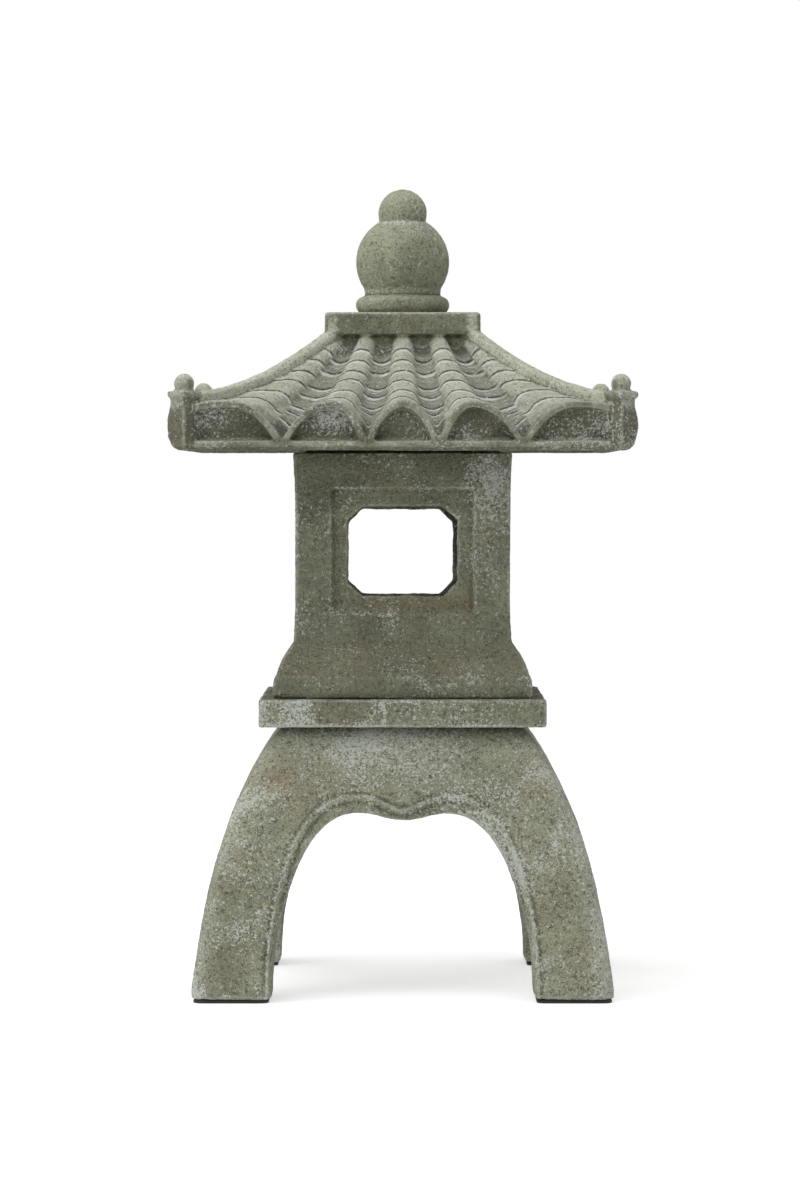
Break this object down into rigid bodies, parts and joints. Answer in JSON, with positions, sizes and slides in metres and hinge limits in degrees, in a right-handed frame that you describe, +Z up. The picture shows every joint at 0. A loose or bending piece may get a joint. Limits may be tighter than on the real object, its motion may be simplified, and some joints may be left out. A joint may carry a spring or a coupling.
{
  "type": "garden stone lantern",
  "caption": "Cast stone pagoda lantern: arched legs, platform slab, windowed fire box, tiled hip roof with corner balls and a ball finial, stacked dry.",
  "frame": {"origin": "on the floor under the middle of the lantern", "axes": "+Z up through the finial; the front is at -Y, and the four sides are alike"},
  "size_m": [0.348, 0.348, 0.611],
  "materials": {
    "stand_stone": "weathered cast stone, sandy, with pale rubbed edges",
    "platform_stone": "weathered cast stone with lime streaks",
    "fire_box_stone": "weathered cast stone, dark, with lime specks",
    "roof_stone": "weathered cast stone, pale on the tiles and dark under their ends",
    "finial_stone": "weathered cast stone with pale creases",
    "rubber": "matt black rubber pad",
    "steel": "plain round bar"
  },
  "bodies": {
    "stand": {"leg_stand": "stand_stone", "foot_pad_front_left": "rubber", "foot_pad_front_right": "rubber", "foot_pad_rear_left": "rubber", "foot_pad_rear_right": "rubber", "leg_rod_front_left": "steel", "leg_rod_front_right": "steel", "leg_rod_rear_left": "steel", "leg_rod_rear_right": "steel"},
    "platform": {"platform_slab": "platform_stone"},
    "fire_box": {"fire_box": "fire_box_stone"},
    "roof": {"roof": "roof_stone"},
    "finial": {"finial": "finial_stone", "finial_dowel": "steel"}
  },
  "joints": [
    {"name": "platform_lift", "type": "slide", "parent": "stand", "child": "platform", "axis": [0, 0, 1], "range_m": [0, 0.1]},
    {"name": "fire_box_lift", "type": "slide", "parent": "platform", "child": "fire_box", "axis": [0, 0, 1], "range_m": [0, 0.1]},
    {"name": "roof_lift", "type": "slide", "parent": "fire_box", "child": "roof", "axis": [0, 0, 1], "range_m": [0, 0.15]},
    {"name": "finial_lift", "type": "slide", "parent": "roof", "child": "finial", "axis": [0, 0, 1], "range_m": [0, 0.12]}
  ]
}
